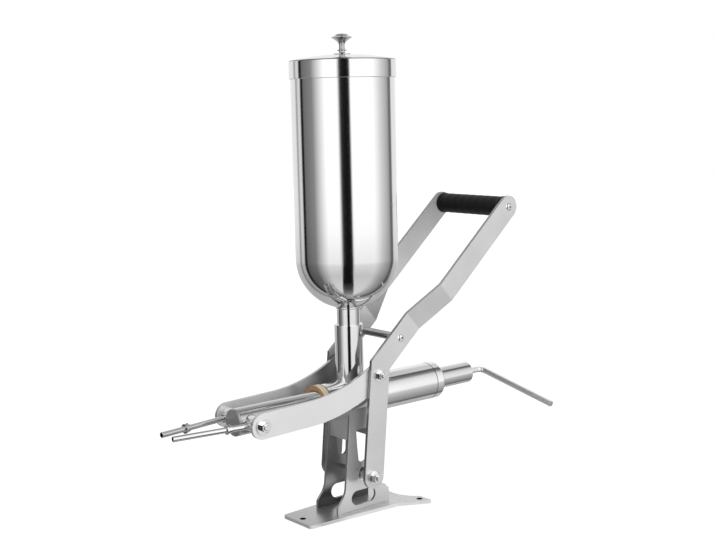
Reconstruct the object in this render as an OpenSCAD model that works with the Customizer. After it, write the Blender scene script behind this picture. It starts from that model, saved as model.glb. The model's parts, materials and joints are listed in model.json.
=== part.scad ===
// Hand-lever filling machine for pastry: hopper, horizontal pump barrel, two filling nozzles.
// +Z is up, the nozzles point to -Y, and the origin is under the hopper on the table.

/* [Base plate] */
// Thickness of the base plate
base_t = 5; // [3:0.5:8]
// Width of the plate at its front edge
base_front_w = 66; // [62:1:90]
// Width of the plate where the rear wings begin
base_waist_w = 86; // [72:1:100]
// Width across the rear wings
base_rear_w = 132; // [122:1:160]
// Reach of the plate in front of the hopper axis
base_front_reach = 105; // [85:1:140]
// Distance from the hopper axis back to where the wings begin
base_waist_reach = 54; // [40:1:70]
// Reach of the plate behind the hopper axis
base_rear_reach = 100; // [92:1:130]
// Radius of the plate's corners
base_corner_r = 4; // [1:0.5:8]
// Depth of the round notch in the rear edge
notch_depth = 20; // [8:1:28]
// Radius of the notch
notch_r = 50; // [30:1:55]
// Diameter of the three screw-down holes
mount_hole_d = 9; // [4:0.5:10]
// Distance of the front hole from the front edge
front_hole_inset = 11; // [8:0.5:16]
// Distance between the two rear holes
rear_hole_spacing = 100; // [94:1:108]
// Distance of the rear holes from the rear edge
rear_hole_inset = 10; // [7:0.5:14]

/* [Side plates and webs] */
// Thickness of the side plates
plate_t = 4; // [3:0.5:6]
// Clear distance between the side plates
plate_gap = 44.5; // [40:0.5:48]
// Length of a side plate's foot
foot_len = 98; // [86:1:130]
// Height of the foot's front edge
foot_front_h = 11; // [8:1:18]
// Height of the foot's rear edge
foot_rear_h = 23; // [12:1:26]
// Length of the side plate above its foot
ankle_len = 68; // [60:1:84]
// Height above the base plate at which the foot has narrowed
ankle_h = 29; // [28:1:36]
// Length of the side plate's top
top_len = 42; // [36:1:56]
// Length of the slot low in each side plate
slot_len = 46; // [30:1:54]
// Width of the slot
slot_w = 22; // [12:1:24]
// Height of the slot's middle above the table
slot_at = 24; // [20:0.5:26]
// Height of the window's lower edge above the table
window_low = 77; // [70:1:90]
// Height of the window's upper edge above the table
window_high = 127; // [110:1:136]
// Width of the window's lower edge
window_low_w = 17.5; // [12:0.5:24]
// Width of the window's upper edge
window_high_w = 23; // [16:0.5:30]
// Thickness of the front and rear webs
web_t = 4; // [3:0.5:6]
// Distance between the outer faces of the webs
web_span = 45; // [38:1:50]
// Distance of the webs' lower edges below the barrel's axis
web_drop = 58; // [46:1:64]

/* [Pump barrel] */
// Height of the barrel's axis above the table
barrel_h = 170; // [164:1:190]
// Outer diameter of the barrel
barrel_od = 57; // [55:0.5:60]
// Wall of the barrel
barrel_wall = 3; // [2:0.5:4]
// Reach of the barrel in front of the hopper axis
barrel_front = 54.5; // [45:0.5:62]
// Reach of the barrel behind the hopper axis
barrel_rear = 152; // [148:1:162]
// Diameter of the feed passage
port_d = 28; // [18:1:29]
// Thickness of the seal between barrel and liner flange
liner_seal_t = 1.5; // [1:0.1:2.5]
// Thickness of the liner's flange
liner_flange_t = 10; // [6:0.5:14]
// Depth of the countersink in the flange's mouth
mouth_depth = 2.5; // [1:0.25:4]

/* [Feed pipes] */
// Outer diameter of the feed socket on the barrel
socket_od = 42; // [40:0.5:46]
// Height of the socket's top above the table
socket_top = 281; // [270:1:290]
// Depth of the hopper's spigot in the socket
spigot_depth = 60; // [40:1:66]
// Outer diameter of the hopper's spigot
spigot_od = 34; // [33:0.5:37]
// Thickness of the seal under the spigot
hopper_seal_t = 2; // [1:0.25:4]

/* [Hopper and lid] */
// Outer diameter of the hopper
hopper_od = 150; // [130:1:170]
// Wall of the hopper
hopper_wall = 1.5; // [1:0.1:3]
// Height of the middle of the hopper's round bottom
hopper_round_at = 380; // [374:1:400]
// Height of the hopper's rim
hopper_top = 663; // [500:1:750]
// Height of the weld bead round the hopper's neck
neck_bead_h = 3.5; // [2:0.25:6]
// Wall of the lid
lid_wall = 1.5; // [1:0.1:3]
// Gap between hopper and lid skirt, on the radius
lid_gap = 0.5; // [0.3:0.1:1]
// Height of the lid's skirt
skirt_h = 26; // [14:1:40]
// Rise of the lid's dome
dome_rise = 8; // [4:0.5:16]
// Height of the knob
knob_h = 29.5; // [24:0.5:40]
// Diameter of the knob's cap
knob_d = 30; // [24:1:40]
// Diameter of the knob's foot
knob_foot_d = 25; // [20:1:30]
// Diameter of the knob's neck
knob_neck_d = 8.5; // [8:0.25:12]
// Diameter of the screw that holds the knob
knob_screw_d = 5; // [3:0.5:6]

/* [Plunger and nozzles] */
// Outer diameter of the plunger
plunger_od = 39; // [37:0.5:41]
// Wall of the plunger
plunger_wall = 3; // [2.5:0.25:4]
// Distance of the front pivots in front of the hopper axis
front_pivot_reach = 190; // [180:1:205]
// Length of the plunger in front of the front pivots
plunger_nose = 16; // [14.5:0.5:22]
// Distance from the feed passage's edge to the resting plunger's rear end
port_margin = 10; // [6:0.5:14]
// Thickness of the plunger's end cap
end_cap_t = 3; // [2:0.25:5]
// Outer diameter of the cross manifold
manifold_od = 23; // [21:0.5:25]
// Diameter of the passages in the manifold
manifold_bore = 14; // [10:0.5:15]
// Distance of each nozzle's root from the middle
nozzle_x = 30; // [28:0.5:30.5]
// Angle by which each nozzle leans in towards the other, degrees
nozzle_toe = 8; // [0:0.5:9]
// Visible length of a nozzle
nozzle_len = 112.5; // [100:0.5:140]
// Outer diameter of a nozzle
nozzle_od = 8.2; // [6:0.2:9]
// Bore of a nozzle
nozzle_bore = 6; // [3:0.2:6.4]
// Diameter of the port from the manifold into each nozzle
nozzle_port_d = 5; // [3:0.5:6]
// Outer diameter of the sockets that hold the nozzles on the manifold
nozzle_socket_d = 11.5; // [10.5:0.5:13]
// Reach of the sockets along the nozzles
nozzle_socket_len = 4; // [2:0.5:5]
// Distance of the right stop collar from its nozzle's root
right_collar_at = 31.5; // [20:0.5:90]
// Distance of the left stop collar from its nozzle's root
left_collar_at = 69.5; // [20:0.5:90]
// Diameter of a stop collar's flange
collar_d = 13.5; // [12:0.25:18]
// Diameter of a stop collar's hub
collar_hub_d = 11; // [10.5:0.25:11.5]
// Thickness of a stop collar's flange
collar_flange_t = 2; // [1:0.25:3]
// Length of a stop collar's hub
collar_hub_len = 5.5; // [5:0.25:9]
// Diameter of a collar's set screw
set_screw_d = 3; // [2:0.5:3.5]

/* [Lever and connecting arms] */
// Height of the fulcrum above the table
fulcrum_h = 59; // [54:1:62]
// Diameter of the fulcrum axle
fulcrum_d = 10; // [8:0.5:12]
// Distance of the rear pivots behind the hopper axis
rear_pivot_y = 15; // [5:1:25]
// Height of the rear pivots above the table
rear_pivot_z = 209; // [202:1:220]
// Diameter of the pivot shoulders
pivot_d = 10; // [9:0.5:11]
// Width of the lever's flat bar
lever_w = 35; // [30:1:40]
// Thickness of the lever's flat bar
lever_t = 5; // [4:0.5:6]
// Length of the lever's leg above the rear pivot
elbow_rise = 15; // [8:1:24]
// Slope of the lever above its elbow, degrees
lever_rake = 41.3; // [36:0.1:50]
// Distance of the cross rod from the elbow
rod_at = 53; // [45:1:60]
// Diameter of the cross rod
rod_d = 12; // [9:0.5:16]
// Distance of the lower bend from the elbow
joggle_low = 87; // [76:1:100]
// Distance of the upper bend from the elbow
joggle_high = 148.5; // [125:0.5:180]
// Inner radius of the bends
bend_r = 5; // [2:0.5:8]
// Distance of the grip from the elbow
grip_at = 326; // [250:1:380]
// Clear distance between the lever arms at the grip
grip_gap = 143.5; // [130:0.5:170]
// Width of the connecting arms
arm_w = 36; // [32:1:40]
// Thickness of the connecting arms
arm_t = 5; // [4:0.5:6]
// Distance of each connecting arm's inner face from the middle
arm_in = 41.5; // [41:0.25:46]
// Length of the arm's straight front part
arm_straight = 80; // [60:1:100]
// Slope of the arm's straight front part, degrees
arm_slope = 1.8; // [0:0.2:4]
// Clearance of the arm's front eye round its stud, on the radius
eye_slack = 2.7; // [2.4:0.1:3.2]

/* [Handle] */
// Diameter of the grip
grip_d = 31; // [26:0.5:36]
// Diameter of the steel bar in the grip
bar_d = 16; // [12:0.5:18]
// Gap between the grip's ends and the lever arms
grip_end_gap = 2; // [0.5:0.5:5]
// Width of the raised ring at each end of the grip
grip_ring_w = 6; // [3:0.5:10]
// Height of the raised rings
grip_ring_h = 0.8; // [0.4:0.1:1.5]
// Diameter of the handle screws
handle_screw_d = 6; // [4:0.5:8]

/* [Dose adjuster] */
// Thickness of the rear cap
cap_t = 15.2; // [12:0.2:20]
// Radius of the rear cap's outer edge
cap_edge_r = 3; // [1:0.5:5]
// Thickness of the seal under the rear cap
cap_seal_t = 0.8; // [0.5:0.1:1.5]
// Length of the rear cap's spigot in the barrel
cap_spigot_len = 10; // [6:0.5:14]
// Outer diameter of the adjuster's housing
housing_od = 33; // [31:0.5:38]
// Length of the housing behind the rear cap
housing_len = 75; // [70:1:90]
// Width of the bevel round the housing's rear end
housing_bevel = 3; // [1:0.25:5]
// Diameter of the adjuster's screw
screw_d = 16; // [14:0.5:17]
// Diameter of the screw's thrust collar
thrust_d = 24.6; // [22:0.2:26]
// Length of the thrust collar
thrust_len = 7.8; // [5:0.2:10]
// Thickness of the thrust washers
thrust_washer_t = 2; // [1:0.25:3]
// Length of the dosing piston
dosing_len = 50; // [46:1:52]
// Distance of the dosing piston's front face behind the hopper axis
dosing_front = 96; // [92:1:96]
// Thickness of the dosing piston's closed front
dosing_front_t = 5; // [4:0.5:8]
// Width of the hexagon key across its flats
key_af = 8; // [6:0.5:9]
// Depth of the key in the screw
key_depth = 19; // [12:1:22]
// Distance of the key's bend behind the hopper axis
key_bend_y = 275; // [262:1:290]
// Reach of the key's long leg from the barrel's axis
key_reach = 154; // [100:1:160]
// Slope of the key's long leg below the level, degrees
key_tilt = 12; // [0:1:30]
// Radius of the key's bend
key_bend_r = 10; // [7:0.5:14]

/* [Hidden] */

// Clearances, on the radius
run_gap = 0.05;
thread_gap = 0.03;
slip_gap = 0.1;
// Play between faces that turn on each other
side_play = 0.2;
// Overrun of every cut past the face it opens
over = 1;
round_fn = 64;
small_fn = 32;

steel = "#c9cbcc";
bright_steel = "#dcdedf";
dark_steel = "#8f9293";
nylon = "#d9b88c";
rubber = "#23241f";

// Fastener sizes: washers, nuts and screw heads
washer_d = 20;
washer_t = 1.6;
inner_washer_d = 21;
pivot_thread_d = 8;
pivot_nut_af = 13;
pivot_nut_h = 6.5;
fulcrum_nut_af = 16;
fulcrum_nut_h = 8;
inner_nut_h = 6;
spacer_d = 16;
stud_tip = 2.5;
stud_tip_bevel = 1;
shim_t = 0.6;
eye_washer_d = 23;
shim_d = 22;
pivot_head_d = 16;
pivot_head_h = 3.6;
rod_screw_d = 6;
screw_head_d = 12;
screw_head_h = 3;
screw_hold = 14;
screw_socket_af = 4;
knob_washer_d = 16;
knob_washer_t = 1.2;
knob_screw_head_h = 2.4;

barrel_r = barrel_od / 2;
barrel_bore = barrel_od - 2 * barrel_wall;
liner_od = barrel_bore - 2 * slip_gap;
liner_bore = plunger_od + 2 * run_gap;
plate_top = barrel_h;
plate_out = plate_gap / 2 + plate_t;
rear_hole_y = base_rear_reach - rear_hole_inset;
front_hole_y = front_hole_inset - base_front_reach;
notch_y = base_rear_reach - notch_depth + notch_r;

shelf_z = socket_top - spigot_depth;
spigot_low = shelf_z + hopper_seal_t;
hopper_r = hopper_od / 2;
neck_z = hopper_round_at - sqrt(pow(hopper_r, 2) - pow(spigot_od / 2, 2));
lid_in_r = hopper_r + lid_gap;
lid_out_r = lid_in_r + lid_wall;
lid_top = hopper_top + lid_wall + dome_rise;

manifold_y = -front_pivot_reach;
manifold_r = manifold_od / 2;
manifold_end = arm_in - side_play - shim_t;
tube_front = manifold_y - plunger_nose;
tube_rear = -(port_d / 2 + port_margin);
seal_w = 3;
seal_depth = 1.5;
seal_pitch = 7;
nozzle_root = -(nozzle_od / 2 * sin(nozzle_toe) + run_gap);
plug_gap = 1;

lever_in = arm_in + arm_t + side_play + shim_t;
lever_out = lever_in + lever_t;
grip_in = grip_gap / 2;
leg_angle = atan2(rear_pivot_y, rear_pivot_z - fulcrum_h);
leg_len = norm([rear_pivot_y, rear_pivot_z - fulcrum_h]) + elbow_rise;
elbow = [leg_len * sin(leg_angle), fulcrum_h + leg_len * cos(leg_angle)];
arm_dy = rear_pivot_y + front_pivot_reach;
arm_dz = rear_pivot_z - barrel_h;

cap_y = barrel_rear + cap_seal_t;
cap_back = cap_y + cap_t;
cap_recess = 1.5;
housing_y = cap_back - cap_recess;
housing_back = cap_back + housing_len;
cavity_back = housing_y + thrust_len + 2 * thrust_washer_t + 2 * run_gap;
screw_inset = 5;
screw_back = housing_back - screw_inset;
dosing_back = dosing_front + dosing_len;
screw_end_gap = 2;
screw_front = dosing_front + dosing_front_t + screw_end_gap;
pin_d = 4;
pin_r = (screw_d + plunger_od - 2 * seal_depth) / 4;
pin_hold = 8;
piston_slack = 0.5;
cap_hollow = plunger_od + 2 * piston_slack;

// Corners of a polygon rounded to arcs: r[i] is the radius at p[i]
function corner(a, b, c, r, n = 6) =
    let (u = (a - b) / norm(a - b), v = (c - b) / norm(c - b),
         half = acos(u * v) / 2, m = (u + v) / norm(u + v),
         mid = b + m * r / sin(half), s = cross(u, v) > 0 ? -1 : 1,
         from = atan2(-m[1], -m[0]), sweep = 90 - half)
    [for (i = [0:n]) let (t = from + s * sweep * (2 * i / n - 1))
        mid + r * [cos(t), sin(t)]];
function rounded(p, r) =
    [for (i = [0:len(p) - 1])
        let (a = p[(i + len(p) - 1) % len(p)], b = p[i], c = p[(i + 1) % len(p)])
        each (r[i] > 0 ? corner(a, b, c, r[i]) : [b])];

module rod_x(d, x0, x1, fn = round_fn) {
    translate([x0, 0, 0]) rotate([0, 90, 0]) cylinder(d = d, h = x1 - x0, $fn = fn);
}

module rod_y(d, y0, y1, fn = round_fn) {
    translate([0, y0, 0]) rotate([-90, 0, 0]) cylinder(d = d, h = y1 - y0, $fn = fn);
}

module tube_y(d, bore, y0, y1) {
    difference() {
        rod_y(d, y0, y1);
        rod_y(bore, y0 - over, y1 + over);
    }
}

module ring_x(d, bore, x0, x1) {
    difference() {
        rod_x(d, x0, x1);
        rod_x(bore, x0 - over, x1 + over);
    }
}

module hexagon(af) {
    circle(d = af / cos(30), $fn = 6);
}

// A nut along X, its outer corners turned off
module nut_x(af, bore, x0, x1) {
    difference() {
        intersection() {
            rod_x(af / cos(30), x0, x1, 6);
            translate([x0, 0, 0]) rotate([0, 90, 0])
                cylinder(d1 = af / cos(30) + 2 * (x1 - x0) - af * 0.1 / cos(30),
                    d2 = af * 0.95, h = x1 - x0, $fn = round_fn);
        }
        rod_x(bore, x0 - over, x1 + over);
    }
}

// A screw with a domed socket head outside x, its thread running inwards
module headed_screw_x(d, x, hold) {
    crown = screw_socket_af * 0.75;
    drop = (pow(screw_head_d / 2, 2) - pow(crown, 2) - pow(screw_head_h, 2))
        / (2 * screw_head_h);
    rod_x(d, x - hold, x, small_fn);
    translate([x, 0, 0]) rotate([0, 90, 0]) difference() {
        rotate_extrude($fn = round_fn) intersection() {
            translate([0, -drop]) circle(r = norm([screw_head_d / 2, drop]), $fn = round_fn * 2);
            square([screw_head_d / 2, screw_head_h]);
        }
        translate([0, 0, screw_head_h * 0.3]) linear_extrude(screw_head_h)
            hexagon(screw_socket_af);
    }
}

// The tip of a threaded end, bevelled, from x0 to x1
module thread_end_x(d, x0, x1) {
    rod_x(d, x0, x1 - stud_tip_bevel);
    translate([x1 - stud_tip_bevel, 0, 0]) rotate([0, 90, 0])
        cylinder(d1 = d, d2 = d - 2 * stud_tip_bevel, h = stud_tip_bevel, $fn = round_fn);
}

module both_sides() {
    children();
    mirror([1, 0, 0]) children();
}

module on_side(side) {
    if (side > 0) children();
    else mirror([1, 0, 0]) children();
}

// An outline drawn in Y and Z, as thick as t from x0 outwards
module side_sheet(x0, t) {
    translate([x0, 0, 0]) rotate([90, 0, 90]) linear_extrude(t) children();
}

module at_barrel() {
    translate([0, 0, barrel_h]) children();
}

module at_fulcrum() {
    translate([0, 0, fulcrum_h]) children();
}

module at_rear_pivot() {
    translate([0, rear_pivot_y, rear_pivot_z]) children();
}

module at_front_pivot() {
    translate([0, manifold_y, barrel_h]) children();
}

// The sloping part of the lever: Y runs up the slope from the elbow
module at_elbow() {
    translate([0, elbow[0], elbow[1]]) rotate([lever_rake, 0, 0]) children();
}

module base_plate() {
    front = base_front_w / 2;
    waist = base_waist_w / 2;
    rear = base_rear_w / 2;
    outline = [[-front, -base_front_reach], [front, -base_front_reach],
        [waist, base_waist_reach], [rear, base_rear_reach - base_corner_r],
        [rear, base_rear_reach], [-rear, base_rear_reach],
        [-rear, base_rear_reach - base_corner_r], [-waist, base_waist_reach]];
    r = base_corner_r;
    color(steel) difference() {
        linear_extrude(base_t) polygon(rounded(outline, [r, r, 0, 0, r / 2, r / 2, 0, 0]));
        translate([0, notch_y, -over])
            cylinder(r = notch_r, h = base_t + 2 * over, $fn = 2 * round_fn);
        for (p = [[0, front_hole_y], [rear_hole_spacing / 2, rear_hole_y],
                [-rear_hole_spacing / 2, rear_hole_y]])
            translate([p[0], p[1], -over])
                cylinder(d = mount_hole_d, h = base_t + 2 * over, $fn = round_fn);
    }
}

module plate_outline() {
    foot = foot_len / 2;
    ankle = ankle_len / 2;
    top = top_len / 2;
    foot_r = foot_front_h / 4;
    polygon(rounded([[-foot, base_t], [foot, base_t], [foot, base_t + foot_rear_h],
        [ankle, base_t + ankle_h], [top, plate_top], [-top, plate_top],
        [-ankle, base_t + ankle_h], [-foot, base_t + foot_front_h]],
        [0, 0, foot_r, ankle_h / 2, 0, 0, ankle_h, foot_r]));
}

module window_outline() {
    low = window_low_w / 2;
    high = window_high_w / 2;
    polygon(rounded([[-low, window_low], [low, window_low], [high, window_high],
        [-high, window_high]], [low * 0.9, low * 0.9, high / 4, high / 4]));
}

module side_plate(side) {
    slot_run = slot_len / 2 - slot_w / 2;
    color(steel) on_side(side) difference() {
        side_sheet(plate_gap / 2, plate_t) plate_outline();
        side_sheet(plate_gap / 2 - over, plate_t + 2 * over) window_outline();
        for (y = [-slot_run, slot_run])
            translate([0, y, slot_at]) rod_x(slot_w, plate_gap / 2 - over, plate_out + over);
        translate([plate_gap / 2 - over, -slot_run, slot_at - slot_w / 2])
            cube([plate_t + 2 * over, 2 * slot_run, slot_w]);
        at_fulcrum() rod_x(fulcrum_d + 2 * slip_gap, plate_gap / 2 - over, plate_out + over);
        at_barrel() rod_y(barrel_od, -foot_len, foot_len);
    }
}

module cross_web(side) {
    y0 = side < 0 ? -web_span / 2 : web_span / 2 - web_t;
    color(steel) difference() {
        translate([-plate_gap / 2, y0, barrel_h - web_drop])
            cube([plate_gap, web_t, web_drop]);
        at_barrel() rod_y(barrel_od, -foot_len, foot_len);
    }
}

module fulcrum_axle() {
    end = lever_out + side_play + washer_t + fulcrum_nut_h + stud_tip;
    color(bright_steel) at_fulcrum() both_sides() thread_end_x(fulcrum_d, 0, end);
}

module fulcrum_inner_washers() {
    color(bright_steel) at_fulcrum() both_sides()
        ring_x(inner_washer_d, fulcrum_d + 2 * thread_gap, plate_out, plate_out + washer_t);
}

module fulcrum_inner_nuts() {
    x0 = plate_out + washer_t;
    color(bright_steel) at_fulcrum() both_sides()
        nut_x(fulcrum_nut_af, fulcrum_d + 2 * thread_gap, x0, x0 + inner_nut_h);
}

module fulcrum_spacers() {
    x0 = plate_out + washer_t + inner_nut_h;
    color(bright_steel) at_fulcrum() both_sides()
        ring_x(spacer_d, fulcrum_d + 2 * thread_gap, x0, lever_in - side_play);
}

module fulcrum_outer_washers() {
    x0 = lever_out + side_play;
    color(bright_steel) at_fulcrum() both_sides()
        ring_x(washer_d, fulcrum_d + 2 * thread_gap, x0, x0 + washer_t);
}

module fulcrum_outer_nuts() {
    x0 = lever_out + side_play + washer_t;
    color(bright_steel) at_fulcrum() both_sides()
        nut_x(fulcrum_nut_af, fulcrum_d + 2 * thread_gap, x0, x0 + fulcrum_nut_h);
}

module feed_hole(top) {
    translate([0, 0, barrel_h]) cylinder(d = port_d, h = top - barrel_h, $fn = round_fn);
}

module barrel() {
    color(bright_steel) difference() {
        at_barrel() tube_y(barrel_od, barrel_bore, -barrel_front, barrel_rear);
        feed_hole(socket_top);
    }
}

module feed_socket() {
    color(bright_steel) difference() {
        translate([0, 0, barrel_h])
            cylinder(d = socket_od, h = socket_top - barrel_h, $fn = round_fn);
        at_barrel() rod_y(barrel_od, -socket_od, socket_od);
        feed_hole(socket_top + over);
        translate([0, 0, shelf_z]) cylinder(d = spigot_od + 2 * slip_gap,
            h = spigot_depth + over, $fn = round_fn);
    }
}

module cylinder_liner() {
    flange_y = -barrel_front - liner_seal_t;
    rear = barrel_rear - cap_spigot_len;
    front = flange_y - liner_flange_t;
    color(nylon) difference() {
        at_barrel() union() {
            rod_y(liner_od, flange_y, rear);
            rod_y(barrel_od, front, flange_y);
        }
        at_barrel() rod_y(liner_bore, front - over, rear + over);
        at_barrel() translate([0, front, 0]) rotate([-90, 0, 0])
            cylinder(d1 = liner_bore + 2 * mouth_depth, d2 = liner_bore, h = mouth_depth,
                $fn = round_fn);
        feed_hole(socket_top);
    }
}

module liner_seal() {
    color("#4a4a2c") at_barrel() tube_y(barrel_od - 2 * side_play, liner_od + 2 * slip_gap,
        -barrel_front - liner_seal_t, -barrel_front);
}

module rear_cap() {
    color(bright_steel) at_barrel() difference() {
        union() {
            rod_y(liner_od, barrel_rear - cap_spigot_len, cap_y);
            rod_y(barrel_od, cap_y, cap_back - cap_edge_r);
            rotate([-90, 0, 0]) rotate_extrude($fn = round_fn) {
                translate([0, cap_back - cap_edge_r - over])
                    square([barrel_r - cap_edge_r, cap_edge_r + over]);
                translate([barrel_r - cap_edge_r, cap_back - cap_edge_r])
                    circle(r = cap_edge_r, $fn = small_fn);
            }
        }
        rod_y(cap_hollow, barrel_rear - cap_spigot_len - over, cap_y);
        rod_y(screw_d + 2 * slip_gap, cap_y - over, cap_back + over);
        rod_y(housing_od + 2 * thread_gap, housing_y, cap_back + over);
        translate([0, 0, -pin_r]) rod_y(pin_d + 2 * thread_gap, cap_y - over, cap_y + pin_hold);
    }
}

module rear_cap_seal() {
    color("#3c3c3a") at_barrel()
        tube_y(barrel_od - 2 * side_play, liner_od + 2 * slip_gap, barrel_rear, cap_y);
}

module guide_pin() {
    color(dark_steel) at_barrel() translate([0, 0, -pin_r])
        rod_y(pin_d, screw_front, cap_y + pin_hold, small_fn);
}

module adjuster_housing() {
    color(steel) at_barrel() difference() {
        union() {
            rod_y(housing_od, housing_y, housing_back - housing_bevel);
            translate([0, housing_back - housing_bevel, 0]) rotate([-90, 0, 0])
                cylinder(d1 = housing_od, d2 = housing_od - 2 * housing_bevel,
                    h = housing_bevel, $fn = round_fn);
        }
        rod_y(screw_d + 2 * slip_gap, housing_y - over, housing_back + over);
        rod_y(thrust_d + 4 * slip_gap, housing_y - over, cavity_back);
    }
}

module thrust_washers() {
    color("#b59b5a") at_barrel() for (y = [housing_y, cavity_back - thrust_washer_t])
        tube_y(thrust_d, screw_d + 2 * slip_gap, y, y + thrust_washer_t);
}

module adjuster_screw() {
    collar_y = housing_y + thrust_washer_t + run_gap;
    color(dark_steel) at_barrel() difference() {
        union() {
            rod_y(screw_d, screw_front, screw_back);
            rod_y(thrust_d, collar_y, collar_y + thrust_len);
        }
        rotate([0, key_tilt, 0]) translate([0, screw_back - key_depth - over, 0])
            rotate([-90, 0, 0]) linear_extrude(key_depth + 2 * over)
                hexagon(key_af + 2 * slip_gap);
    }
}

module adjuster_key() {
    start = screw_back - key_depth;
    bend = key_bend_y - key_bend_r;
    color(bright_steel) at_barrel() rotate([0, key_tilt, 0]) {
        translate([0, start, 0]) rotate([-90, 0, 0]) linear_extrude(bend - start)
            hexagon(key_af);
        translate([key_bend_r, bend, 0]) rotate([0, 0, 90])
            rotate_extrude(angle = 90, $fn = round_fn) translate([key_bend_r, 0])
                hexagon(key_af);
        translate([key_bend_r, key_bend_y, 0]) rotate([0, 90, 0]) rotate([0, 0, 90])
            linear_extrude(key_reach - key_bend_r) hexagon(key_af);
    }
}

module seal_grooves(d, y_list) {
    for (y = y_list)
        tube_y(d + 2 * over, d - 2 * seal_depth, y - seal_w / 2, y + seal_w / 2);
}

module seal_rings(d, y_list) {
    for (y = y_list)
        tube_y(liner_bore - run_gap, d - 2 * seal_depth + thread_gap,
            y - seal_w / 2 + thread_gap, y + seal_w / 2 - thread_gap);
}

dosing_seal_ys = [dosing_front + seal_pitch, dosing_front + 2 * seal_pitch];
plunger_seal_ys = [tube_rear - seal_pitch, tube_rear - 2 * seal_pitch];

module dosing_piston() {
    color(bright_steel) at_barrel() difference() {
        rod_y(plunger_od, dosing_front, dosing_back);
        rod_y(screw_d + 2 * slip_gap, dosing_front + dosing_front_t, dosing_back + over);
        translate([0, 0, -pin_r])
            rod_y(pin_d + 2 * slip_gap, dosing_front + dosing_front_t, dosing_back + over);
        seal_grooves(plunger_od, dosing_seal_ys);
    }
}

module dosing_seals() {
    color(rubber) at_barrel() seal_rings(plunger_od, dosing_seal_ys);
}

module plunger_tube() {
    color(bright_steel) difference() {
        at_barrel() tube_y(plunger_od, plunger_od - 2 * plunger_wall, tube_front, tube_rear);
        at_barrel() seal_grooves(plunger_od, plunger_seal_ys);
        at_front_pivot() rod_x(manifold_od + 2 * thread_gap, -plunger_od, plunger_od);
    }
}

module plunger_seals() {
    color(rubber) at_barrel() seal_rings(plunger_od, plunger_seal_ys);
}

module plunger_end_cap() {
    edge = end_cap_t * 0.8;
    spigot = plunger_nose - manifold_r - side_play;
    color(dark_steel) at_barrel() {
        rod_y(plunger_od, tube_front - end_cap_t + edge, tube_front);
        rod_y(plunger_od - 2 * plunger_wall - 2 * thread_gap, tube_front - over,
            tube_front + spigot);
        translate([0, tube_front, 0]) rotate([90, 0, 0]) rotate_extrude($fn = round_fn) {
            square([plunger_od / 2 - edge, end_cap_t]);
            translate([0, end_cap_t - edge]) intersection() {
                translate([plunger_od / 2 - edge, 0]) circle(r = edge, $fn = small_fn);
                square([plunger_od / 2, edge]);
            }
        }
    }
}

// A frame at a nozzle's root: Y points back along the nozzle
module at_nozzle() {
    translate([nozzle_x, manifold_y - manifold_r, barrel_h])
        rotate([0, 0, -nozzle_toe]) children();
}

module cross_manifold() {
    color(steel) difference() {
        at_front_pivot() rod_x(manifold_od, -manifold_end, manifold_end);
        at_front_pivot() rod_x(manifold_bore, -manifold_end - over, manifold_end + over);
        at_front_pivot() rod_y(manifold_bore * 0.85, 0, manifold_od);
        both_sides() at_nozzle() rod_y(nozzle_port_d, -manifold_r, manifold_r);
    }
}

// The short rings welded to the manifold, in which the nozzles' roots sit
module nozzle_sockets() {
    color(steel) difference() {
        both_sides() at_nozzle() difference() {
            rod_y(nozzle_socket_d, -nozzle_socket_len, manifold_r);
            rod_y(nozzle_od + 2 * thread_gap, -nozzle_socket_len - over, manifold_r + over);
        }
        at_front_pivot() rod_x(manifold_od, -manifold_end, manifold_end);
    }
}

module front_pivot_studs() {
    plug_in = nozzle_x + nozzle_od / 2 + plug_gap;
    shoulder = arm_in + arm_t + side_play;
    end = shoulder + washer_t + pivot_nut_h + stud_tip;
    color(bright_steel) at_front_pivot() both_sides() {
        rod_x(manifold_bore - 2 * thread_gap, plug_in, manifold_end);
        rod_x(pivot_d, manifold_end - over, shoulder);
        thread_end_x(pivot_thread_d, shoulder - over, end);
    }
}

module front_pivot_shims() {
    color(nylon) at_front_pivot() both_sides()
        ring_x(shim_d, pivot_d + 2 * thread_gap, manifold_end, manifold_end + shim_t);
}

module front_pivot_washers() {
    x0 = arm_in + arm_t + side_play;
    color(bright_steel) at_front_pivot() both_sides()
        ring_x(eye_washer_d, pivot_thread_d + 2 * thread_gap, x0, x0 + washer_t);
}

module front_pivot_nuts() {
    x0 = arm_in + arm_t + side_play + washer_t;
    color(bright_steel) at_front_pivot() both_sides()
        nut_x(pivot_nut_af, pivot_thread_d + 2 * thread_gap, x0, x0 + pivot_nut_h);
}

module nozzle(side) {
    bevel = (nozzle_od - nozzle_bore) / 4;
    color(bright_steel) on_side(side) at_nozzle() difference() {
        union() {
            rod_y(nozzle_od, -nozzle_len + bevel, nozzle_root, small_fn);
            translate([0, -nozzle_len + bevel, 0]) rotate([90, 0, 0])
                cylinder(d1 = nozzle_od, d2 = nozzle_od - 2 * bevel, h = bevel, $fn = small_fn);
        }
        rod_y(nozzle_bore, -nozzle_len - over, nozzle_root + over, small_fn);
    }
}

// A stop collar whose flange faces the tip, at a distance from the nozzle's root
module stop_collar(side, along) {
    len = collar_flange_t + collar_hub_len;
    color(steel) on_side(side) at_nozzle() translate([0, -along - len / 2, 0]) difference() {
        union() {
            rod_y(collar_d, 0, collar_flange_t);
            rod_y(collar_hub_d, collar_flange_t, len);
        }
        rod_y(nozzle_od + 2 * run_gap, -over, len + over);
        translate([0, collar_flange_t + collar_hub_len / 2, 0])
            cylinder(d = set_screw_d + 2 * thread_gap, h = collar_d, $fn = small_fn);
    }
}

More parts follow.
